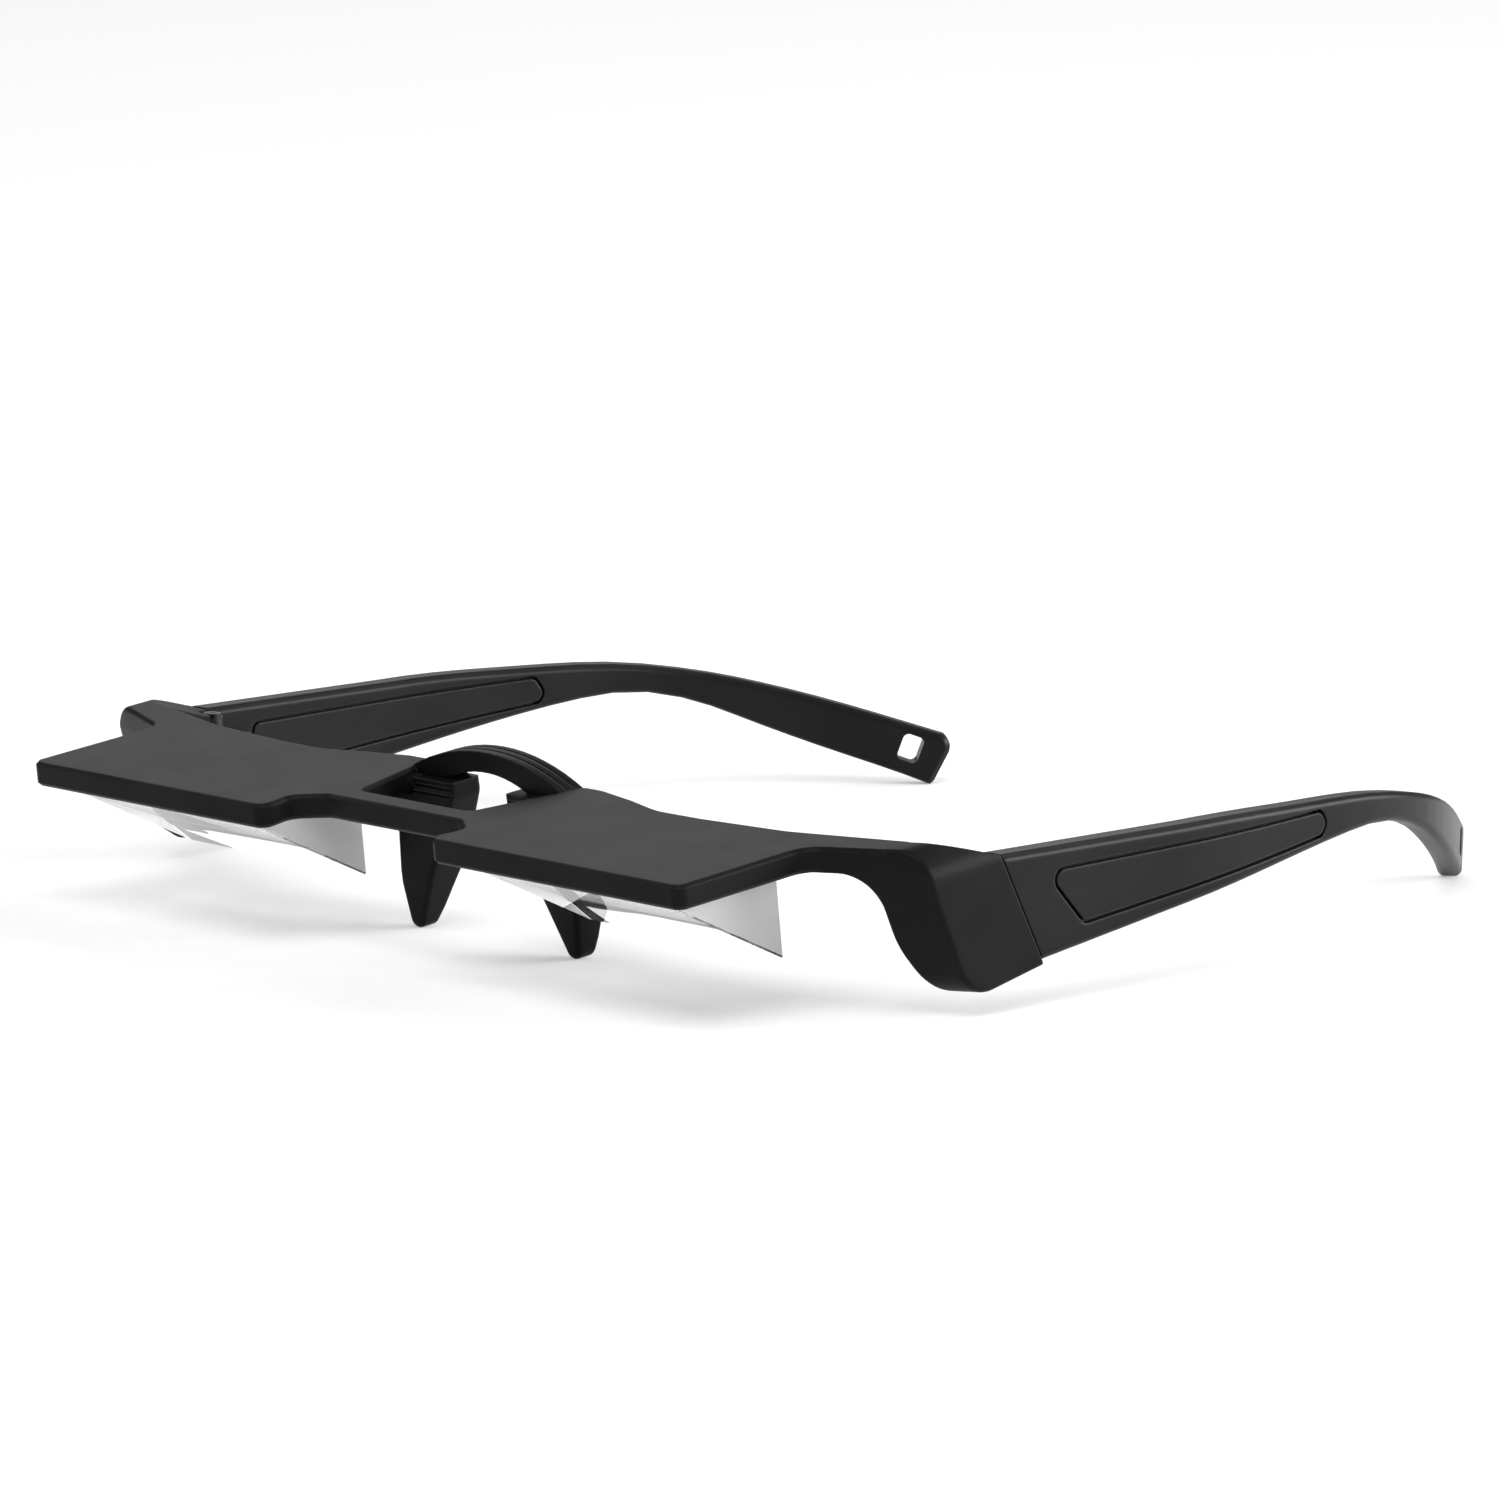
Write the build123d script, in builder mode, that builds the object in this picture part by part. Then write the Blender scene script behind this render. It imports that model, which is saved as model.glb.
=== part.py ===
from build123d import *
from math import cos, radians, sin, tan
import os

# Prism bed glasses: a flat black front that carries two clear wedge prisms,
# two soft nose pads and two hinged side arms with hooked, slotted ends.
# Millimetres. The glasses stand on a table at Z = 0 on their nose pad tips and
# arm tips. The front faces -Y, the arms run towards +Y, and X = 0 is the
# plane of symmetry. Left is the wearer's left, +X.

os.makedirs("parts", exist_ok=True)

# Stance of the front on the table, and how far cuts run past the pieces
front_edge_height = 19.9
front_tilt = 6.33
overrun = 5.0

# Front moulding: two cover plates, the bar between them and the side arms
plate_half_width = 66.0
arm_reach = 16.5
plate_depth = 26.0
plate_thickness = 3.4
plate_bevel = 0.45
plate_corner_round = 1.7
notch_half_width = 16.5
notch_round = 2.0
bar_setback = 8.9
bar_depth = 4.0
opening_front_half = 11.0
opening_rear_half = 15.4
opening_round = 1.3
shoulder_run = 4.0
shoulder_width = 4.1
arm_lag = 2.9
arm_sweep = 6.3
arm_fillet = 3.6
arm_width = 4.4
rear_edge_round = 12.0
shoulder_round = 5.0
notch_flank_shares = (1.067, 0.67)
notch_foot_share = 0.82
rear_edge_shares = ((0.876, 1.054), (0.645, 1.004), (0.515, 1.0), (0.41, 1.077))

# Bow over the nose opening, at the rear of the front
bow_margin = 0.4
bow_width = 3.7
bow_rise = 3.7
bow_half_span = 15.2
bow_underside_rise = 0.85
bow_underside_half = 8.2
bow_seat_depth = 1.0
bow_groove_width = 0.4
bow_groove_depth = 0.3
bow_groove_shares = (0.3, 0.66)

# Lugs under the bow that the nose pads are pushed on to
lug_inner_half = 8.6
lug_width = 4.6
lug_depth = 2.6
lug_length = 7.0

# End pieces: the thick ends of the side arms that carry the hinges
end_width = 7.5
end_depth = 17.2
end_knee_run = 1.3
end_knee_drop = 3.4
end_knee_round = 12.0
end_toe_run = 7.7
end_toe_round = 5.6
end_brow_round = 4.0
end_top_run = 4.6
end_top_round = 3.0
end_roll = 4.6
end_inner_fillet = 5.0
end_toe_height = 7.5
end_toe_inset = 3.2
end_heel_round = 2.6
end_edge_round = 0.8
end_step = 0.35

# Parting line between end piece and side arm
parting_run = 12.8
parting_lean = 27.3
parting_gap = 0.3

# Side arms. Each station of the hook has its place along the path and its top
# edge and depth as shares of the arm's own height and depth.
temple_thickness = 4.2
temple_tip_thickness = 3.5
temple_rise = 1.2
temple_root_depth = 15.0
temple_edge_round = 1.1
temple_taper = 8.7
bend_run = 34.3
hook_run = 86.0
hook_inset = 31.0
hook_heading = 38.5
hook_section_count = 20
hook_path_shares = ((0.0, 0.0), (0.26, 0.055), (0.476, 0.155), (0.655, 0.316), (0.82, 0.6), (1.0, 1.0))
hook_station_shares = (
    (0.13, 1.0, 0.604),
    (0.26, 0.982, 0.455),
    (0.38, 0.962, 0.337),
    (0.476, 0.924, 0.273),
    (0.56, 0.865, 0.29),
    (0.655, 0.777, 0.38),
    (0.74, 0.68, 0.453),
    (0.82, 0.578, 0.493),
    (0.91, 0.453, 0.517),
    (1.0, 0.327, 0.58),
)

# Arm tips
tip_overhang = 1.06
tip_toe_drop = 0.6
tip_slant = 3.9
tip_top_round = 2.2
tip_toe_round = 1.6
tip_bevel = 0.7
tip_reach = 6.5
tip_skin = 0.05
tip_rise_share = 0.34
tip_drop_share = 0.42

# Strap slot near the tip of each side arm
slot_width = 3.2
slot_height = 4.0
slot_round = 0.9
slot_tip_margin = 6.8
slot_drop = 1.4
slot_lean = 20.0

# Inlay panels let into both faces of each side arm
inlay_root_margin = 8.1
inlay_bend_reach = 29.3
inlay_top_margin = 3.2
inlay_depth = 1.1
inlay_groove = 0.5
inlay_round = 1.2
outer_inlay_shares = (
    (0.031, 0.893),
    (0.056, 0.991),
    (0.978, 1.098),
    (1.0, 0.961),
    (0.982, 0.843),
    (0.133, 0.374),
)
inner_inlay_shares = ((0.0, 1.0), (0.942, 1.094), (0.984, 0.826), (0.063, 0.443))

# Prisms, glued under the plates
prism_side_margin = 5.6
prism_width = 37.6
prism_depth = 20.0
prism_setback = 2.3
prism_height = 12.0
prism_chamfer = 0.25
adhesive_thickness = 0.2
adhesive_margin = 0.8
mirror_thickness = 0.15

# Nose pads
pad_inner_half = 5.5
pad_wing_half = 17.9
pad_block_half = 13.2
pad_floor_reach = 2.3
pad_wing_gap = 0.05
pad_lead = 1.8
pad_depth = 6.4
pad_side_round = 3.0
pad_tip_round = 1.4
pad_edge_round = 0.7
pad_rib_depth = 0.3
pad_rib_width = 0.5
pad_rib_pitch = 1.0
pad_rib_count = 2
pad_wing_top_share = 0.945
pad_face_shares = ((0.0, 0.09), (0.56, 0.74), (0.9, 1.14), (1.0, 0.7))
pad_side_shares = ((0.0, 0.62), (0.2, 1.28), (0.72, 0.86), (1.0, 0.5))

# Hinges
hinge_lead = 0.2
hinge_inset = 1.6
hinge_top_drop = 0.9
barrel_radius = 1.5
barrel_length = 2.9
barrel_gap = 0.1
screw_radius = 0.6
screw_clearance = 0.04
screw_head_radius = 1.25
screw_head_height = 0.55
screw_slot_width = 0.35
screw_slot_depth = 0.25
leaf_thickness = 1.1
leaf_clearance = 0.1
front_leaf_length = 7.6
temple_leaf_length = 6.0
temple_leaf_height = 4.4
leaf_end_round = 0.8
swing_clearance = 0.3

# Setbacks are measured rearwards from the front edge, heights from the table.
bow_setback = plate_depth - bow_margin
shoulder_setback = bow_setback + shoulder_run
pad_front = bow_setback - pad_lead
arm_outer_setback = plate_depth + arm_lag
arm_setback = arm_outer_setback - arm_sweep
parting_setback = arm_outer_setback + parting_run
hinge_setback = parting_setback - hinge_lead
block_rear = hinge_setback - barrel_radius - swing_clearance
temple_bend_start = parting_setback + bend_run
overall_length = temple_bend_start + hook_run
inlay_start = parting_setback + inlay_root_margin
inlay_end = temple_bend_start + inlay_bend_reach
temple_top_height = front_edge_height + temple_rise
arm_top = temple_top_height + overrun
temple_root_bottom = temple_top_height - temple_root_depth
pad_length = front_edge_height + pad_floor_reach
hinge_height = 3 * barrel_length + 2 * barrel_gap
hinge_base_height = temple_top_height - hinge_top_drop - hinge_height

# Half widths are measured from the plane of symmetry.
frame_half_width = plate_half_width + arm_reach
temple_inner_x = frame_half_width - temple_thickness
hinge_x = temple_inner_x - hinge_inset
prism_inner_x = plate_half_width - prism_side_margin - prism_width

# Planes
c = cos(radians(front_tilt))
s = sin(radians(front_tilt))
front_y = -overall_length / 2
front_origin = (0, front_y, front_edge_height)
front_plane = Plane(origin=front_origin, x_dir=(1, 0, 0), z_dir=(0, -s, c))
face_plane = Plane(origin=front_origin, x_dir=(1, 0, 0), z_dir=(0, -c, -s))
profile_plane = Plane(origin=front_origin, x_dir=(0, c, s), z_dir=(1, 0, 0))
side_plane = Plane(origin=(0, front_y, 0), x_dir=(0, 1, 0), z_dir=(1, 0, 0))
table_plane = Plane(origin=(0, front_y, 0), x_dir=(1, 0, 0), z_dir=(0, 0, 1))

# Slopes of the front's side arms, of the parting line and of the arms' taper
arm_slope = arm_sweep / arm_reach
parting_slope = tan(radians(parting_lean))
taper_slope = tan(radians(temple_taper))
arm_taper = temple_thickness - temple_tip_thickness

# Path of the left side arm's outer face in plan, from the bend to the tip
hook_turn = radians(hook_heading)
hook_way = Vector(-sin(hook_turn), cos(hook_turn))
hook_across = Vector(cos(hook_turn), sin(hook_turn))
hook_path = Spline(
    *[
        (frame_half_width - hook_inset * b, temple_bend_start + (hook_run + tip_overhang) * a)
        for a, b in hook_path_shares
    ],
    tangents=[(0, 1), hook_way],
)


def parting_at(height):
    return parting_setback + (temple_top_height - height) * parting_slope


def lower_edge_at(setback):
    return temple_root_bottom + (setback - parting_at(temple_root_bottom)) * taper_slope


def front_plan():
    # Half outline of the front seen from above, square to the plates.
    rear = [(plate_half_width * a, plate_depth * b) for a, b in rear_edge_shares]
    arm_end = frame_half_width - end_roll - overrun / 4
    arm_rear = arm_outer_setback + arm_width
    arm_rear_slope = (arm_rear - rear[0][1]) / (frame_half_width - rear[0][0])
    points = [
        (0, bar_setback),
        (notch_half_width * notch_foot_share, bar_setback),
        (notch_half_width * notch_flank_shares[0], bar_setback * notch_flank_shares[1]),
        (notch_half_width, 0),
        (plate_half_width, 0),
        (plate_half_width, arm_setback),
        (arm_end, arm_setback + (arm_end - plate_half_width) * arm_slope),
        (arm_end, arm_rear - (frame_half_width - arm_end) * arm_rear_slope),
        *rear,
        (opening_rear_half + shoulder_width, shoulder_setback),
        (opening_rear_half, shoulder_setback),
        (opening_front_half, bar_setback + bar_depth),
        (0, bar_setback + bar_depth),
    ]
    radii = [
        notch_round,
        notch_round,
        notch_round,
        plate_corner_round,
        arm_fillet,
        0,
        0,
        *[rear_edge_round] * 3,
        shoulder_round,
        shoulder_round,
        opening_round,
        opening_round,
    ]
    with BuildSketch(front_plane.offset(-plate_thickness)) as plan:
        with BuildLine():
            FilletPolyline(*points, radius=radii)
            Line(points[-1], points[0])
        make_face()
        mirror(about=Plane.YZ)
    return plan.sketch


def end_profile():
    # Side outline of an end piece, running on past the parting line and above
    # the plate. Its front is flush with the edge of the plate.
    front = (arm_outer_setback * c, front_edge_height + arm_outer_setback * s)
    rear = arm_outer_setback + end_top_run
    far = parting_at(temple_root_bottom) + overrun
    slope = (front_edge_height + rear * s - temple_top_height) / (parting_setback - rear * c)
    with BuildSketch(sweep_plane) as outline:
        with BuildLine():
            FilletPolyline(
                (front[0] - overrun * s, front[1] + overrun * c),
                (front[0] + plate_thickness * s, front[1] - plate_thickness * c),
                (arm_outer_setback + end_knee_run, front_edge_height - end_knee_drop),
                (arm_outer_setback + end_toe_run, front_edge_height - end_depth - end_step),
                (far, lower_edge_at(far) - end_step),
                (far, temple_top_height),
                (parting_setback, temple_top_height),
                (rear * c - end_top_run / 2, front_edge_height + rear * s + end_top_run / 2 * slope),
                radius=[0, end_brow_round, end_knee_round, end_toe_round, 0, 0, end_top_round, 0],
                close=True,
            )
        make_face()
    return outline.sketch


def end_front_outline():
    # Outline of an end piece seen square to the plate's edge: rolled over from
    # the plate to the outer side, hollowed under the arm, drawn in at the toe.
    toe_run = arm_outer_setback + end_toe_run
    toe = -toe_run * s - (end_depth + end_step) * c
    with BuildSketch(face_plane.offset(overrun)) as outline:
        with BuildLine():
            RadiusArc(
                (end_inner_x, -plate_thickness - end_inner_fillet),
                (under_arm_x, -plate_thickness),
                -end_inner_fillet,
            )
            FilletPolyline(
                (under_arm_x, -plate_thickness),
                (under_arm_x - overrun, -plate_thickness),
                (under_arm_x - overrun, 0),
                (frame_half_width, 0),
                (frame_half_width, toe),
                (end_inner_x + end_toe_inset, toe),
                (end_inner_x, toe + end_toe_height),
                (end_inner_x, -plate_thickness - end_inner_fillet),
                radius=[0, 0, end_roll, 0, end_heel_round, end_knee_round],
            )
        make_face()
    return outline.sketch


def behind_parting(gap):
    # Everything behind the parting line, from the table to above the arm.
    top = temple_top_height + overrun
    with BuildSketch(side_plane.offset(temple_inner_x - end_width)) as region:
        with BuildLine():
            Polyline(
                (parting_at(-overrun) + gap, -overrun),
                (parting_at(top) + gap, top),
                (overall_length + overrun, top),
                (overall_length + overrun, -overrun),
                close=True,
            )
        make_face()
    return region.sketch


def arm_section(place, way, thickness, top, low):
    # Upright section through the left side arm, inwards from its outer face.
    inward = Vector(-way.Y, way.X)
    middle = place + inward * (thickness / 2)
    section_plane = Plane(
        origin=(middle.X, front_y + middle.Y, (top + low) / 2),
        x_dir=inward,
        z_dir=-way,
    )
    with BuildSketch(section_plane) as section:
        RectangleRounded(thickness, top - low, temple_edge_round)
    return section.sketch


def arm_band(near_inset, far_inset, near_taper=0, far_taper=0):
    # Plan of a slice of the left side arm between two depths below its outer
    # face. The tapers thin the slice towards the tip.
    near, far = [], []
    for t, _ in hook_path_shares:
        place, way = hook_path @ t, hook_path % t
        side = Vector(-way.Y, way.X)
        near.append(place + side * (near_inset - near_taper * t))
        far.append(place + side * (far_inset - far_taper * t))
    ends = [hook_path % 0, hook_path % 1]
    root = hinge_setback - overrun
    with BuildSketch(table_plane) as band:
        with BuildLine():
            Polyline(far[0], (far[0].X, root), (near[0].X, root), near[0])
            Spline(*near, tangents=ends)
            Line(near[-1], far[-1])
            Spline(*far, tangents=ends)
        make_face()
    return band.sketch


def inlay_face(shares, growth):
    # Outline of an inlay panel, or of its pocket when grown by the groove.
    run = inlay_end - inlay_start
    foot = lower_edge_at(inlay_start)
    height = temple_top_height - inlay_top_margin - foot
    points = [(inlay_start + run * a, foot + height * b) for a, b in shares]
    with BuildSketch(side_plane.offset(temple_inner_x - end_width)) as panel:
        with BuildLine():
            FilletPolyline(*points, radius=inlay_round, close=True)
        make_face()
        offset(amount=growth)
    return panel.sketch


# End piece of the left side arm. Its front follows the slant of the arm, and
# behind it is cut back for the hinge.
end_inner_x = frame_half_width - end_width
under_arm_x = end_inner_x - end_inner_fillet
arm_middle = arm_outer_setback + arm_width / 2
sweep_way = Vector(-1, -arm_slope * c, -arm_slope * s)
sweep_plane = Plane(
    origin=Vector(frame_half_width, front_y, 0) - sweep_way * overrun,
    x_dir=(0, 1, 0),
    z_dir=(1, 0, 0),
)
end_reach = end_width + end_inner_fillet + 2 * overrun
with BuildPart() as end_piece:
    extrude(end_profile(), amount=end_reach * sweep_way.length, dir=sweep_way)
    extrude(end_front_outline(), amount=-overall_length, mode=Mode.INTERSECT)
    outer_side = end_piece.faces().filter_by(Plane.YZ).sort_by(Axis.X)[-1]
    outer_edges = ShapeList(outer_side.edges().sort_by(Axis.Y)[:-1])
    fillet(outer_edges.filter_by(lambda edge: abs((edge % 0.5).Y) < 0.98), end_edge_round)
    extrude(behind_parting(0), amount=end_reach + overrun, mode=Mode.SUBTRACT)
    with BuildSketch(table_plane):
        with BuildLine():
            Polyline(
                (0, arm_middle),
                (end_inner_x, arm_middle),
                (end_inner_x, block_rear),
                (temple_inner_x + leaf_clearance, block_rear),
                (temple_inner_x + leaf_clearance, overall_length),
                (0, overall_length),
                close=True,
            )
        make_face()
    extrude(amount=2 * front_edge_height, mode=Mode.SUBTRACT)

# Front moulding
with BuildPart() as frame_front:
    # Cover plates, bar and side arms are one flat slab with bevelled rims.
    extrude(front_plan(), amount=plate_thickness)
    rims = frame_front.faces().filter_by(front_plane)
    chamfer(rims.edges(), plate_bevel)
    add(end_piece.part)
    add(mirror(end_piece.part, about=Plane.YZ, mode=Mode.PRIVATE))
    # The bow bridges the nose opening and ends in the plates' inner corners.
    bow_radius = (bow_half_span**2 + bow_rise**2) / (2 * bow_rise)
    bow_sink = plate_thickness / 2
    with BuildSketch(face_plane.offset(-bow_setback)):
        with BuildLine():
            foot = (bow_radius**2 - (bow_radius - bow_rise - bow_sink) ** 2) ** 0.5
            ThreePointArc((-foot, -bow_sink), (0, bow_rise), (foot, -bow_sink))
            Polyline((foot, -bow_sink), (foot - bow_sink, -bow_sink), (bow_half_span, -bow_seat_depth))
            Line((bow_half_span, -bow_seat_depth), (bow_underside_half, -bow_seat_depth))
            ThreePointArc(
                (bow_underside_half, -bow_seat_depth),
                (0, bow_underside_rise),
                (-bow_underside_half, -bow_seat_depth),
            )
            Line((-bow_underside_half, -bow_seat_depth), (-bow_half_span, -bow_seat_depth))
            Polyline((-bow_half_span, -bow_seat_depth), (bow_sink - foot, -bow_sink), (-foot, -bow_sink))
        make_face()
    extrude(amount=-bow_width)
    # Two grooves run along the top of the bow.
    for share in bow_groove_shares:
        with BuildSketch(face_plane.offset(-bow_setback - bow_width * share)):
            with Locations((0, bow_rise - bow_radius)):
                Circle(bow_radius + overrun)
                Circle(bow_radius - bow_groove_depth, mode=Mode.SUBTRACT)
            with Locations((0, overrun)):
                Rectangle(2 * bow_half_span, 2 * overrun, mode=Mode.INTERSECT)
        extrude(amount=-bow_groove_width, mode=Mode.SUBTRACT)
    # Lugs for the nose pads hang under the ends of the bow.
    lug_setback = bow_setback + bow_width / 2
    lug_centre = lug_inner_half + lug_width / 2
    with BuildSketch(front_plane.offset(-bow_seat_depth - lug_length)):
        with Locations((lug_centre, lug_setback), (-lug_centre, lug_setback)):
            Rectangle(lug_width, lug_depth)
    extrude(amount=lug_length + bow_seat_depth / 2)
    # Slots in the end pieces hold the front hinge leaves.
    with BuildSketch(table_plane.offset(hinge_base_height)):
        with Locations((hinge_x, block_rear), (-hinge_x, block_rear)):
            Rectangle(leaf_thickness, 2 * front_leaf_length)
    extrude(amount=hinge_height, mode=Mode.SUBTRACT)
frame_front.part.label = "frame_front"
export_step(frame_front.part, "parts/frame_front.step")

# Adhesive sheets, mirror films and prisms lie under each plate in that order.
with BuildPart() as adhesive_left:
    with BuildSketch(front_plane.offset(-plate_thickness)):
        with Locations((prism_inner_x + prism_width / 2, prism_setback + prism_depth / 2)):
            Rectangle(prism_width - 2 * adhesive_margin, prism_depth - 2 * adhesive_margin)
    extrude(amount=-adhesive_thickness)
adhesive_left.part.label = "adhesive_sheet_left"
export_step(adhesive_left.part, "parts/adhesive_sheet_left.step")

with BuildPart() as adhesive_right:
    mirror(adhesive_left.part, about=Plane.YZ)
adhesive_right.part.label = "adhesive_sheet_right"
export_step(adhesive_right.part, "parts/adhesive_sheet_right.step")

with BuildPart() as mirror_left:
    with BuildSketch(front_plane.offset(-plate_thickness - adhesive_thickness)):
        with Locations((prism_inner_x + prism_width / 2, prism_setback + prism_depth / 2)):
            Rectangle(prism_width - 2 * prism_chamfer, prism_depth - 2 * prism_chamfer)
    extrude(amount=-mirror_thickness)
mirror_left.part.label = "mirror_film_left"
export_step(mirror_left.part, "parts/mirror_film_left.step")

with BuildPart() as mirror_right:
    mirror(mirror_left.part, about=Plane.YZ)
mirror_right.part.label = "mirror_film_right"
export_step(mirror_right.part, "parts/mirror_film_right.step")

with BuildPart() as prism_left:
    stack = plate_thickness + adhesive_thickness + mirror_thickness
    with BuildSketch(profile_plane.offset(prism_inner_x)):
        with BuildLine():
            Polyline(
                (prism_setback, -stack),
                (prism_setback + prism_depth, -stack),
                (prism_setback + prism_depth, -stack - prism_height),
                close=True,
            )
        make_face()
    extrude(amount=prism_width)
    chamfer(prism_left.edges(), prism_chamfer)
prism_left.part.label = "prism_left"
export_step(prism_left.part, "parts/prism_left.step")

with BuildPart() as prism_right:
    mirror(prism_left.part, about=Plane.YZ)
prism_right.part.label = "prism_right"
export_step(prism_right.part, "parts/prism_right.step")

# Nose pads: soft wedges pushed up over the lugs, seated under the bow. The
# wing of each pad passes under the plate and tapers to a rounded tip.
with BuildPart() as pad_left:
    pad_span = pad_wing_half - pad_inner_half
    wing_top = -plate_thickness - pad_wing_gap
    with BuildSketch(face_plane.offset(overrun - pad_front)):
        with BuildLine():
            FilletPolyline(
                (pad_inner_half, -bow_seat_depth),
                *[
                    (pad_inner_half + pad_span * a, -bow_seat_depth - pad_length * b)
                    for a, b in pad_face_shares
                ],
                (pad_inner_half + pad_span * pad_wing_top_share, wing_top),
                (pad_block_half, wing_top),
                (pad_block_half, -bow_seat_depth),
                radius=[0, pad_side_round, pad_side_round, pad_tip_round, pad_side_round, 0, 0, 0],
                close=True,
            )
        make_face()
    extrude(amount=-pad_depth - 2 * overrun)
    with BuildSketch(profile_plane.offset(pad_inner_half - overrun)):
        with BuildLine():
            FilletPolyline(
                (pad_front, -bow_seat_depth),
                *[
                    (pad_front + pad_depth * a, -bow_seat_depth - pad_length * b)
                    for a, b in pad_side_shares
                ],
                (bow_setback + bow_width, -bow_seat_depth),
                radius=[0, pad_side_round, pad_tip_round, pad_side_round, pad_side_round, 0],
                close=True,
            )
        make_face()
    extrude(amount=pad_span + 2 * overrun, mode=Mode.INTERSECT)
    soft_edges = pad_left.edges().filter_by(
        lambda edge: max(front_plane.to_local_coords(edge @ end).Z for end in (0, 1))
        < wing_top - pad_wing_gap
    )
    fillet(soft_edges, pad_edge_round)
    # Two grooves run across the front of the block, and a pocket takes the lug.
    with BuildSketch(profile_plane.offset(pad_inner_half - overrun)):
        for number in range(1, pad_rib_count + 1):
            with Locations((pad_front, -bow_seat_depth - pad_rib_pitch * number)):
                Rectangle(2 * pad_rib_depth, pad_rib_width)
    extrude(amount=pad_block_half - pad_inner_half + overrun, mode=Mode.SUBTRACT)
    with BuildSketch(front_plane.offset(-bow_seat_depth - lug_length)):
        with Locations((lug_centre, lug_setback)):
            Rectangle(lug_width, lug_depth)
    extrude(amount=lug_length, mode=Mode.SUBTRACT)
pad_left.part.label = "nose_pad_left"
export_step(pad_left.part, "parts/nose_pad_left.step")

with BuildPart() as pad_right:
    mirror(pad_left.part, about=Plane.YZ)
pad_right.part.label = "nose_pad_right"
export_step(pad_right.part, "parts/nose_pad_right.step")

# What is cut away round the slanted, rounded tip of the left side arm
hook_plane = Plane(
    origin=((hook_path @ 1).X, front_y + (hook_path @ 1).Y, 0),
    x_dir=hook_way,
    z_dir=hook_across,
)
tip_top_height = temple_top_height * hook_station_shares[-1][1]
with BuildPart() as tip_blank:
    with BuildSketch(hook_plane.offset(tip_skin)):
        with BuildLine():
            FilletPolyline(
                (-2 * tip_reach, tip_top_height + 2 * tip_reach * tip_rise_share),
                (0, tip_top_height),
                (-tip_slant, -tip_toe_drop),
                (-2 * tip_reach, (2 * tip_reach - tip_slant) * tip_drop_share),
                radius=[0, tip_top_round, tip_toe_round, 0],
                close=True,
            )
        make_face()
    extrude(amount=-temple_tip_thickness - 2 * tip_skin)
    broad_faces = tip_blank.faces().sort_by(Axis((0, 0, 0), hook_across))
    chamfer(broad_faces[0].edges() + broad_faces[-1].edges(), tip_bevel)
with BuildPart() as tip_waste:
    with BuildSketch(hook_plane):
        with Locations((0, 0)):
            Rectangle(2 * tip_reach, 2 * arm_top)
    extrude(amount=2 * temple_thickness, both=True)
    add(tip_blank.part, mode=Mode.SUBTRACT)

# Side arms: straight at the root, then through rounded sections along the hook
bend_depth = temple_top_height - lower_edge_at(temple_bend_start)
stations = Spline((0, 1, bend_depth / temple_root_depth), *hook_station_shares)
with BuildPart() as temple_left:
    arm_root = parting_setback - overrun
    add(
        arm_section(
            Vector(frame_half_width, arm_root),
            hook_path % 0,
            temple_thickness,
            temple_top_height,
            lower_edge_at(arm_root),
        )
    )
    for number in range(hook_section_count + 1):
        station = stations @ (number / hook_section_count)
        section_top = temple_top_height * station.Y
        add(
            arm_section(
                hook_path @ station.X,
                hook_path % station.X,
                temple_thickness - arm_taper * station.X,
                section_top,
                section_top - temple_root_depth * station.Z,
            )
        )
    loft(ruled=True)
    # The root ends along the parting line.
    with BuildSketch(side_plane.offset(temple_inner_x - end_width)):
        with BuildLine():
            Polyline(
                (parting_at(-overrun) + parting_gap, -overrun),
                (parting_at(arm_top) + parting_gap, arm_top),
                (arm_root - overrun, arm_top),
                (arm_root - overrun, -overrun),
                close=True,
            )
        make_face()
    extrude(amount=2 * end_width, mode=Mode.SUBTRACT)
    # The tip is cut square to the hook, slanted and rounded.
    add(tip_waste.part, mode=Mode.SUBTRACT)
    # Pockets for the inlay panels, a groove wider than the panels all round
    outer_pocket = extrude(
        inlay_face(outer_inlay_shares, inlay_groove), amount=arm_top, mode=Mode.PRIVATE
    ) & extrude(arm_band(-overrun, inlay_depth), amount=arm_top, mode=Mode.PRIVATE)
    add(outer_pocket, mode=Mode.SUBTRACT)
    inner_pocket = extrude(
        inlay_face(inner_inlay_shares, inlay_groove), amount=arm_top, mode=Mode.PRIVATE
    ) & extrude(
        arm_band(temple_thickness - inlay_depth, temple_thickness + overrun, arm_taper, arm_taper),
        amount=arm_top,
        mode=Mode.PRIVATE,
    )
    add(inner_pocket, mode=Mode.SUBTRACT)
    # Strap slot, square to the hook
    with BuildSketch(hook_plane):
        with Locations((-slot_tip_margin, tip_top_height - slot_drop)):
            RectangleRounded(slot_width, slot_height, slot_round, rotation=-slot_lean)
    extrude(amount=2 * temple_thickness, both=True, mode=Mode.SUBTRACT)
temple_left.part.label = "temple_left"
export_step(temple_left.part, "parts/temple_left.step")

with BuildPart() as temple_right:
    mirror(temple_left.part, about=Plane.YZ)
temple_right.part.label = "temple_right"
export_step(temple_right.part, "parts/temple_right.step")

# Inlay panels, pressed into the pockets of the side arms
with BuildPart() as outer_inlay_left:
    extrude(inlay_face(outer_inlay_shares, 0), amount=arm_top)
    extrude(arm_band(0, inlay_depth), amount=arm_top, mode=Mode.INTERSECT)
outer_inlay_left.part.label = "outer_inlay_left"
export_step(outer_inlay_left.part, "parts/outer_inlay_left.step")

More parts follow.
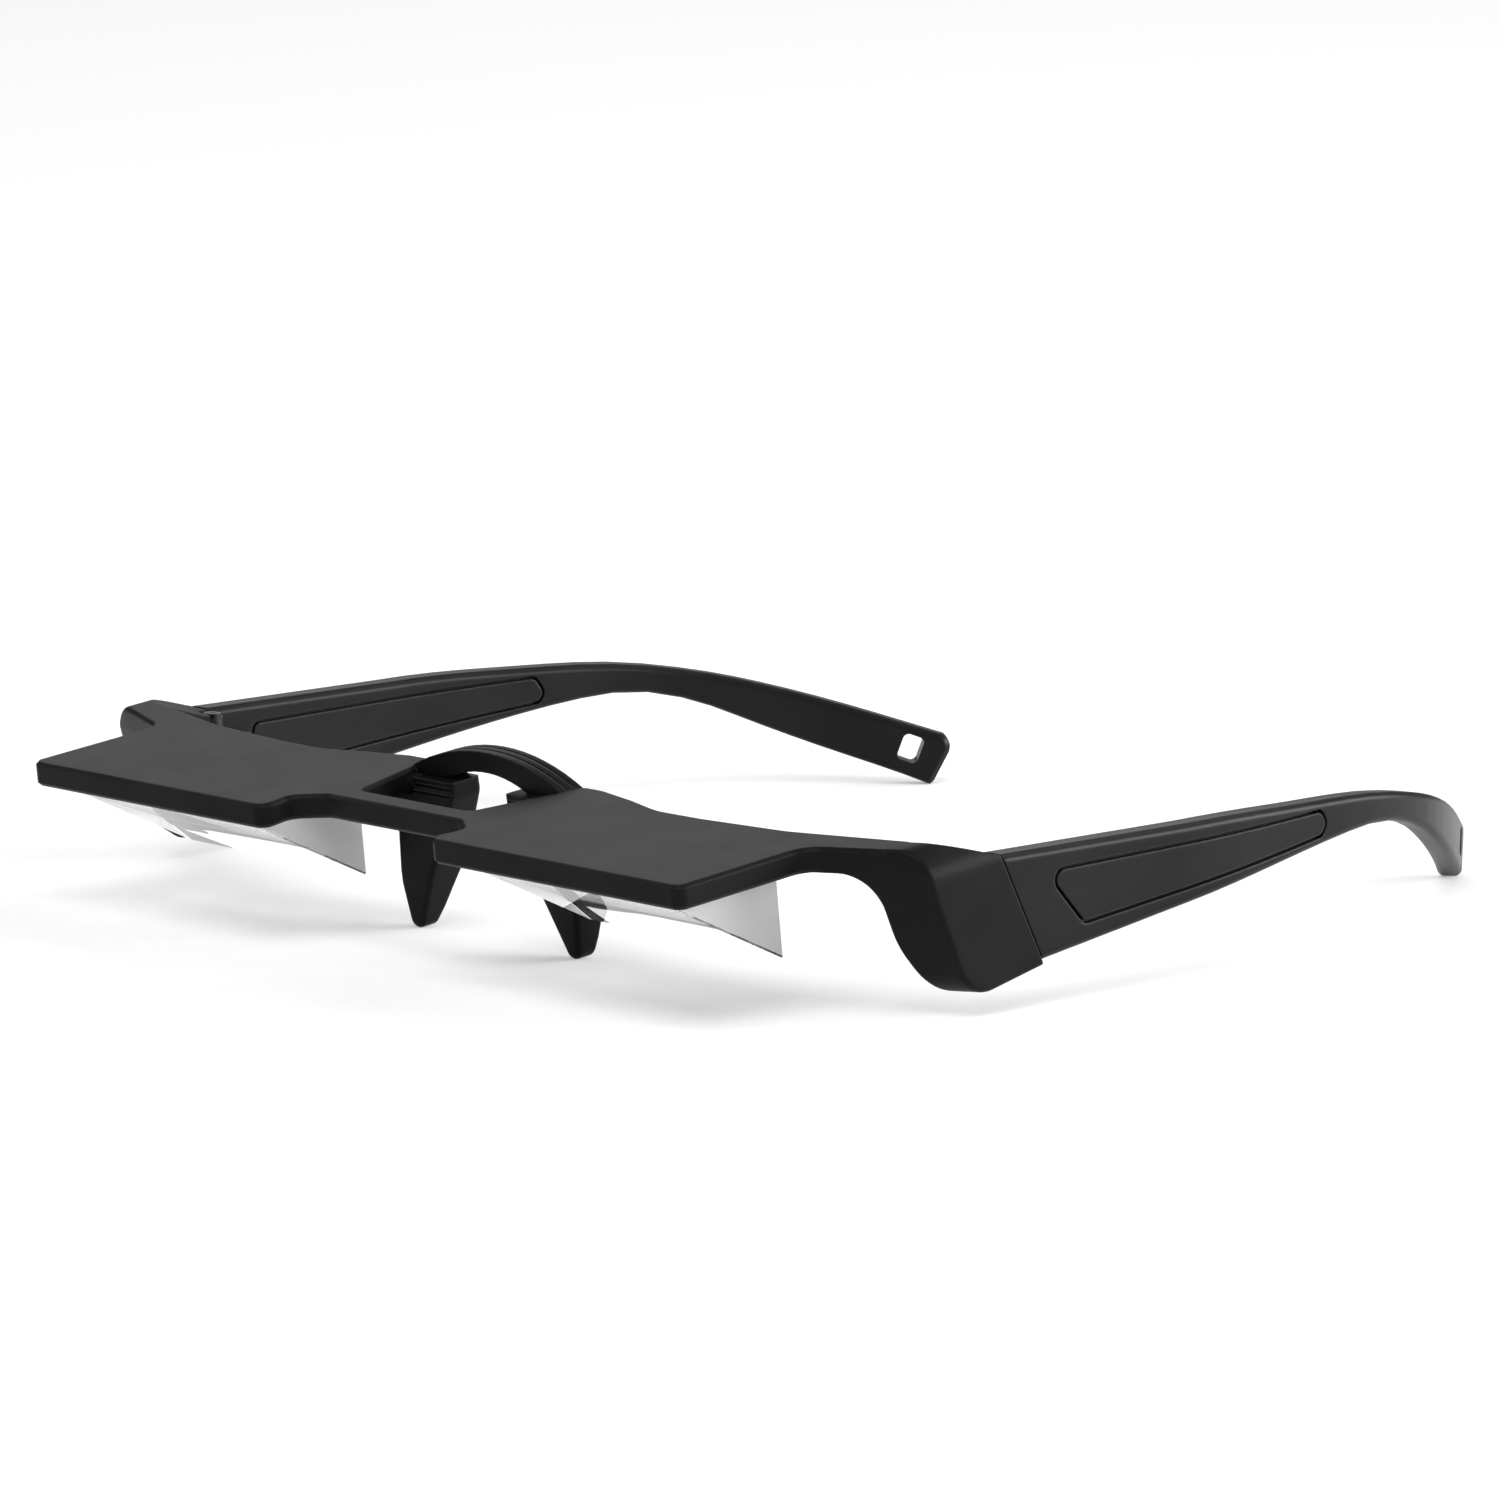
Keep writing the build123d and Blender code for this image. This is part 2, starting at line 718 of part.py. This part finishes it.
with BuildPart() as outer_inlay_right:
    mirror(outer_inlay_left.part, about=Plane.YZ)
outer_inlay_right.part.label = "outer_inlay_right"
export_step(outer_inlay_right.part, "parts/outer_inlay_right.step")

with BuildPart() as inner_inlay_left:
    extrude(inlay_face(inner_inlay_shares, 0), amount=arm_top)
    extrude(
        arm_band(temple_thickness - inlay_depth, temple_thickness, arm_taper, arm_taper),
        amount=arm_top,
        mode=Mode.INTERSECT,
    )
inner_inlay_left.part.label = "inner_inlay_left"
export_step(inner_inlay_left.part, "parts/inner_inlay_left.step")

with BuildPart() as inner_inlay_right:
    mirror(inner_inlay_left.part, about=Plane.YZ)
inner_inlay_right.part.label = "inner_inlay_right"
export_step(inner_inlay_right.part, "parts/inner_inlay_right.step")

# Hinges: the front leaf carries the top and bottom barrels, the temple leaf
# the middle one, and a screw runs down through all three.
middle_base = hinge_base_height + barrel_length + barrel_gap
upper_base = middle_base + barrel_length + barrel_gap
hinge_top = temple_top_height - hinge_top_drop
bore_radius = screw_radius + screw_clearance
with BuildPart() as front_leaf_left:
    with BuildSketch(table_plane.offset(hinge_base_height)):
        with Locations((hinge_x, block_rear - front_leaf_length / 2)):
            Rectangle(leaf_thickness, front_leaf_length)
    extrude(amount=hinge_height)
    for base in (hinge_base_height, upper_base):
        with BuildSketch(table_plane.offset(base)):
            with Locations((hinge_x, hinge_setback)):
                Circle(barrel_radius)
            with Locations((hinge_x, (block_rear + hinge_setback) / 2)):
                Rectangle(leaf_thickness, hinge_setback - block_rear)
            with Locations((hinge_x, hinge_setback)):
                Circle(bore_radius, mode=Mode.SUBTRACT)
        extrude(amount=barrel_length)
front_leaf_left.part.label = "hinge_front_leaf_left"
export_step(front_leaf_left.part, "parts/hinge_front_leaf_left.step")

with BuildPart() as front_leaf_right:
    mirror(front_leaf_left.part, about=Plane.YZ)
front_leaf_right.part.label = "hinge_front_leaf_right"
export_step(front_leaf_right.part, "parts/hinge_front_leaf_right.step")

with BuildPart() as temple_leaf_left:
    leaf_start = hinge_setback + barrel_radius + swing_clearance
    leaf_middle = temple_inner_x - leaf_thickness / 2
    with BuildSketch(table_plane.offset(middle_base)):
        with Locations((hinge_x, hinge_setback)):
            Circle(barrel_radius)
        with Locations((leaf_middle, (hinge_setback + leaf_start) / 2)):
            Rectangle(leaf_thickness, leaf_start - hinge_setback)
        with Locations((hinge_x, hinge_setback)):
            Circle(bore_radius, mode=Mode.SUBTRACT)
    extrude(amount=barrel_length)
    with BuildSketch(side_plane.offset(temple_inner_x)):
        with Locations(
            (
                leaf_start + temple_leaf_length / 2,
                middle_base + barrel_length - temple_leaf_height / 2,
            )
        ):
            RectangleRounded(temple_leaf_length, temple_leaf_height, leaf_end_round)
    extrude(amount=-leaf_thickness)
temple_leaf_left.part.label = "hinge_temple_leaf_left"
export_step(temple_leaf_left.part, "parts/hinge_temple_leaf_left.step")

with BuildPart() as temple_leaf_right:
    mirror(temple_leaf_left.part, about=Plane.YZ)
temple_leaf_right.part.label = "hinge_temple_leaf_right"
export_step(temple_leaf_right.part, "parts/hinge_temple_leaf_right.step")

with BuildPart() as hinge_screw_left:
    with BuildSketch(table_plane.offset(hinge_base_height)):
        with Locations((hinge_x, hinge_setback)):
            Circle(screw_radius)
    extrude(amount=hinge_height)
    with BuildSketch(table_plane.offset(hinge_top)):
        with Locations((hinge_x, hinge_setback)):
            Circle(screw_head_radius)
    extrude(amount=screw_head_height)
    with BuildSketch(table_plane.offset(hinge_top + screw_head_height)):
        with Locations((hinge_x, hinge_setback)):
            Rectangle(screw_slot_width, 3 * screw_head_radius)
    extrude(amount=-screw_slot_depth, mode=Mode.SUBTRACT)
hinge_screw_left.part.label = "hinge_screw_left"
export_step(hinge_screw_left.part, "parts/hinge_screw_left.step")

with BuildPart() as hinge_screw_right:
    mirror(hinge_screw_left.part, about=Plane.YZ)
hinge_screw_right.part.label = "hinge_screw_right"
export_step(hinge_screw_right.part, "parts/hinge_screw_right.step")
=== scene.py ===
import bpy
from mathutils import Matrix, Vector

# Looks of the prism bed glasses: materials and even shading for the packed
# solids, the camera, a pale floor and soft lamps. Every visible form is a
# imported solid. Metres, in the frame of the pack.

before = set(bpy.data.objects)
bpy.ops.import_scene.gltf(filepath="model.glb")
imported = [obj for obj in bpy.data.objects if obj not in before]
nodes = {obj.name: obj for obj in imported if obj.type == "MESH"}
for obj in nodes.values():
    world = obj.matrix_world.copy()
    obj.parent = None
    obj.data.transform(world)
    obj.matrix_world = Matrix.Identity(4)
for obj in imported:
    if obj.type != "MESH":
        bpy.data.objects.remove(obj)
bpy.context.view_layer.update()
scene = bpy.context.scene
scene.view_settings.view_transform = "Standard"

# Camera at the photograph's angle
lens_length = 238.18
sensor_width = 36.0
clip_near = 0.05
clip_far = 50.0
view_way = Vector((-0.7224, 0.6713, -0.1656)).normalized()
view_aim = Vector((0.03333, -0.03804, 0.02877))
view_distance = 1.3226

camera_data = bpy.data.cameras.new("camera")
camera_data.lens = lens_length
camera_data.sensor_width = sensor_width
camera_data.clip_start = clip_near
camera_data.clip_end = clip_far
camera = bpy.data.objects.new("camera", camera_data)
scene.collection.objects.link(camera)
across = view_way.cross(Vector((0, 0, 1))).normalized()
upward = across.cross(view_way)
turn = Matrix((across, upward, -view_way)).transposed()
shift = Matrix.Translation(view_aim - view_way * view_distance)
camera.matrix_world = shift @ turn.to_4x4()
scene.camera = camera

# Edges of plastic: their radius in the shading, and the cosines between the rounded
# and the flat normal where the lighter rim starts and where it is full. The rim is
# partly rubbed wear and partly a painted highlight, a lighter colour that stands in
# for the light catching the edges.
edge_radius = 0.0004
edge_samples = 6
rim_start = 0.995
rim_full = 0.85
# How much lighter the edges' colour is: rubbed wear and a painted highlight
wear_and_highlight_brightening = 5
wear_polish = -0.12

# Patterns of plastic: noise scales and details, and the strength of the grain
cloud_scale = 60.0
cloud_detail = 3.0
cloud_range = (0.35, 0.65)
scuff_scale = 700.0
scuff_detail = 3.0
patch_scale = 160.0
patch_detail = 4.0
grain_detail = 2.0
grain_strength = 0.6

# Tones and roughness go from the first value to the second across a pattern.
# The specular level is low, so that the pale surroundings leave black dark.
plastics = {
    "frame_black": {
        "name": "frame_plastic",
        "tones": (0.0065, 0.0105),
        "roughness": (0.40, 0.46),
        "grain_scale": 2600.0,
        "grain_depth": 0.00002,
        "specular_level": 0.075,
    },
    "temple_black": {
        "name": "temple_plastic",
        "tones": (0.008, 0.012),
        "roughness": (0.30, 0.36),
        "grain_scale": 2600.0,
        "grain_depth": 0.00002,
        "specular_level": 0.115,
    },
    "inlay_black": {
        "name": "inlay_plastic",
        "tones": (0.0085, 0.0125),
        "roughness": (0.32, 0.38),
        "grain_scale": 3200.0,
        "grain_depth": 0.00002,
        "specular_level": 0.115,
    },
    "pad_rubber": {
        "name": "pad_rubber",
        "tones": (0.005, 0.008),
        "roughness": (0.34, 0.42),
        "grain_scale": 1800.0,
        "grain_depth": 0.00003,
        "specular_level": 0.07,
    },
    "adhesive_black": {
        "name": "adhesive_sheet",
        "tones": (0.006, 0.01),
        "roughness": (0.6, 0.7),
        "grain_scale": 2000.0,
        "grain_depth": 0.00002,
        "specular_level": 0.3,
    },
}

# Prisms: clear faces, and ground side faces, which are those that face X. The
# index of refraction is under that of acrylic, for the photograph's light look.
prism_colour = (0.97, 0.975, 0.975, 1)
prism_refraction = 1.28
ground_start = 0.9
ground_full = 0.98
clear_transmission = 0.97
ground_transmission = 0.25
ground_roughness = 0.3
haze_roughness = 0.02
haze_scale = 90.0
haze_detail = 2.0

# Metals: brushed by stretched noise, each with a tone and a roughness
brush_scale = 900.0
brush_detail = 3.0
brush_stretch = (1, 1, 14)
brush_range = (0.3, 0.7)
brush_darkening = 0.8
brush_smoothing = 0.8
brush_roughening = 1.3
metals = {
    "mirror_film": (0.9, 0.04),
    "hinge_steel": (0.05, 0.36),
    "screw_steel": (0.05, 0.32),
}


def fill(node, inputs):
    # Each input is another node's output, which is linked, or a plain value.
    for name, value in inputs.items():
        if isinstance(value, bpy.types.NodeSocket):
            node.id_data.links.new(value, node.inputs[name])
        else:
            node.inputs[name].default_value = value


def add_node(tree, kind, inputs, **settings):
    node = tree.nodes.new(kind)
    for name, value in settings.items():
        setattr(node, name, value)
    fill(node, inputs)
    return node


def calculate(tree, operation, *inputs, **settings):
    node = add_node(
        tree,
        "ShaderNodeMath",
        dict(enumerate(inputs)),
        operation=operation,
        **settings,
    )
    return node.outputs["Value"]


def span(tree, source, low, high, start=0.0, end=1.0):
    # Low where the source is at the start, and high where it is at the end.
    limits = {"From Min": start, "From Max": end, "To Min": low, "To Max": high}
    node = add_node(tree, "ShaderNodeMapRange", {"Value": source, **limits})
    return node.outputs["Result"]


def noise(tree, scale, detail, stretch=(1, 1, 1)):
    coords = tree.nodes.new("ShaderNodeTexCoord")
    mapping = add_node(
        tree,
        "ShaderNodeMapping",
        {"Scale": stretch, "Vector": coords.outputs["Object"]},
    )
    node = add_node(
        tree,
        "ShaderNodeTexNoise",
        {"Vector": mapping.outputs["Vector"], "Scale": scale, "Detail": detail},
    )
    return node.outputs["Fac"]


def ramp(tree, source, positions, colours):
    node = add_node(tree, "ShaderNodeValToRGB", {"Fac": source})
    for element, position, colour in zip(node.color_ramp.elements, positions, colours):
        element.position = position
        element.color = colour
    return node.outputs["Color"]


def grey(value):
    return (value, value, value, 1)


def new_material(name, shader_kind):
    material = bpy.data.materials.new(name)
    material.use_nodes = True
    tree = material.node_tree
    tree.nodes.clear()
    output = tree.nodes.new("ShaderNodeOutputMaterial")
    shader = tree.nodes.new(shader_kind)
    fill(output, {"Surface": shader.outputs[0]})
    return material, tree, shader


def plastic(name, tones, roughness, grain_scale, grain_depth, specular_level):
    # Satin black, with a faint cloud, a fine grain and lightly rubbed edges, whose
    # lighter colour is partly a painted highlight
    material, tree, shader = new_material(name, "ShaderNodeBsdfPrincipled")
    rounded = add_node(
        tree,
        "ShaderNodeBevel",
        {"Radius": edge_radius},
        samples=edge_samples,
    ).outputs["Normal"]
    surface = tree.nodes.new("ShaderNodeNewGeometry")
    facing = add_node(
        tree,
        "ShaderNodeVectorMath",
        {0: rounded, 1: surface.outputs["Normal"]},
        operation="DOT_PRODUCT",
    )
    edge = span(tree, facing.outputs["Value"], 0.0, 1.0, rim_start, rim_full)
    scuff = noise(tree, scuff_scale, scuff_detail)
    # The edge mask times scuff noise: rubbed wear, and a painted highlight along the
    # edges
    rubbed_and_highlit = calculate(tree, "MULTIPLY", edge, scuff)
    cloud = noise(tree, cloud_scale, cloud_detail)
    colour = add_node(
        tree,
        "ShaderNodeMix",
        {
            "Factor": rubbed_and_highlit,
            "A": ramp(tree, cloud, cloud_range, [grey(tone) for tone in tones]),
            "B": grey(tones[1] * wear_and_highlight_brightening),
        },
        data_type="RGBA",
    )
    rough = span(tree, noise(tree, patch_scale, patch_detail), *roughness)
    grain = add_node(
        tree,
        "ShaderNodeBump",
        {
            "Strength": grain_strength,
            "Distance": grain_depth,
            "Height": noise(tree, grain_scale, grain_detail),
            "Normal": rounded,
        },
    )
    fill(
        shader,
        {
            "Base Color": colour.outputs["Result"],
            "Roughness": calculate(tree, "MULTIPLY_ADD", rubbed_and_highlit, wear_polish, rough),
            "Normal": grain.outputs["Normal"],
            "Specular IOR Level": specular_level,
        },
    )
    return material


def clear(name):
    material, tree, shader = new_material(name, "ShaderNodeBsdfPrincipled")
    coords = tree.nodes.new("ShaderNodeTexCoord")
    split = add_node(
        tree,
        "ShaderNodeSeparateXYZ",
        {"Vector": coords.outputs["Normal"]},
    )
    sideways = calculate(tree, "ABSOLUTE", split.outputs["X"])
    ground = span(tree, sideways, 0.0, 1.0, ground_start, ground_full)
    haze = span(tree, noise(tree, haze_scale, haze_detail), 0.0, haze_roughness)
    fill(
        shader,
        {
            "Base Color": prism_colour,
            "IOR": prism_refraction,
            "Transmission Weight": span(
                tree, ground, clear_transmission, ground_transmission
            ),
            "Roughness": calculate(
                tree, "MULTIPLY_ADD", ground, ground_roughness, haze
            ),
        },
    )
    return material


def metal(name, tone, roughness):
    material, tree, shader = new_material(name, "ShaderNodeBsdfPrincipled")
    brushed = noise(tree, brush_scale, brush_detail, brush_stretch)
    tones = (grey(tone * brush_darkening), grey(tone))
    smooth = roughness * brush_smoothing
    coarse = roughness * brush_roughening
    fill(
        shader,
        {
            "Base Color": ramp(tree, brushed, brush_range, tones),
            "Metallic": 1.0,
            "Roughness": span(tree, brushed, smooth, coarse),
        },
    )
    return material


materials = {slot: plastic(**looks) for slot, looks in plastics.items()}
materials["prism_clear"] = clear("prism_acrylic")
for slot, (tone, roughness) in metals.items():
    materials[slot] = metal(slot, tone, roughness)
for node in nodes.values():
    for slot in node.material_slots:
        slot.material = materials[slot.material.name.split(".")[0]]

# Even shading where short facets of one face meet. Corners count as one where
# they lie within a step, and their normals are averaged where they nearly
# agree, so that true edges stay sharp.
shaded_nodes = (
    "temple_left",
    "temple_right",
    "nose_pad_left",
    "nose_pad_right",
    "frame_front",
)
steps_per_metre = 50000
normal_digits = 2
agreement = 0.93


def even_shading(mesh):
    places = [
        tuple(round(value * steps_per_metre) for value in vertex.co)
        for vertex in mesh.vertices
    ]
    normals = [Vector(corner.vector) for corner in mesh.corner_normals]
    groups = {}
    for loop in mesh.loops:
        normal = normals[loop.index]
        group = groups.setdefault(places[loop.vertex_index], {})
        group[tuple(round(value, normal_digits) for value in normal)] = normal
    evened = []
    for loop in mesh.loops:
        normal = normals[loop.index]
        total = Vector((0, 0, 0))
        for other in groups[places[loop.vertex_index]].values():
            if other.dot(normal) > agreement:
                total += other
        evened.append(total.normalized() if total.length > 0 else normal)
    mesh.normals_split_custom_set(evened)


for name in shaded_nodes:
    even_shading(nodes[name].data)

# Plain pale floor, which glows a little for the camera and in reflections and
# keeps its shadows
floor_half = 6.0
floor_tone = 0.8
floor_glow = 0.35

floor_mesh = bpy.data.meshes.new("floor")
floor_corners = [
    (side * floor_half, depth * floor_half, 0)
    for side, depth in ((-1, -1), (1, -1), (1, 1), (-1, 1))
]
floor_mesh.from_pydata(floor_corners, [], [(0, 1, 2, 3)])
floor = bpy.data.objects.new("floor", floor_mesh)
scene.collection.objects.link(floor)
floor_material, tree, sheet = new_material("floor_paper", "ShaderNodeAddShader")
rays = tree.nodes.new("ShaderNodeLightPath").outputs
shown = calculate(
    tree,
    "ADD",
    rays["Is Camera Ray"],
    rays["Is Glossy Ray"],
    use_clamp=True,
)
shown = calculate(tree, "ADD", shown, rays["Is Transmission Ray"], use_clamp=True)
strength = calculate(tree, "MULTIPLY", shown, floor_glow)
paper = add_node(tree, "ShaderNodeBsdfDiffuse", {"Color": grey(floor_tone)})
glow = add_node(tree, "ShaderNodeEmission", {"Strength": strength})
fill(sheet, {0: paper.outputs["BSDF"], 1: glow.outputs["Emission"]})
floor_mesh.materials.append(floor_material)

# World and soft lamps. Each lamp has its place, the point it is turned to, its
# width and height, and its power in watts.
world_strength = 0.2
table_middle = (0, 0, 0)
glasses_middle = (0, 0, 0.02)
lamps = {
    "key": ((0.35, -0.6, 1.1), table_middle, (0.8, 0.8), 8.5),
    "side": ((1.3, 1.1, 0.45), glasses_middle, (1.0, 0.7), 22.0),
    "rear_side": ((0.75, 1.6, 0.5), glasses_middle, (1.0, 0.6), 15.0),
    "back": ((-1.2, 1.1, 0.7), glasses_middle, (1.0, 0.6), 2.5),
    "left_strip": ((-1.1, -0.25, 1.0), glasses_middle, (1.2, 0.4), 3.2),
    "rear_strip": ((0.3, 1.05, 1.15), glasses_middle, (1.2, 0.4), 3.0),
}

world = bpy.data.worlds.new("world")
world.use_nodes = True
scene.world = world
background = world.node_tree.nodes["Background"]
background.inputs["Color"].default_value = (1, 1, 1, 1)
background.inputs["Strength"].default_value = world_strength


for name, (place, target, size, power) in lamps.items():
    lamp_data = bpy.data.lights.new(name, "AREA")
    lamp_data.shape = "RECTANGLE"
    lamp_data.size, lamp_data.size_y = size
    lamp_data.energy = power
    lamp = bpy.data.objects.new(name, lamp_data)
    lamp.location = place
    toward = Vector(target) - Vector(place)
    lamp.rotation_euler = toward.to_track_quat("-Z", "Y").to_euler()
    scene.collection.objects.link(lamp)
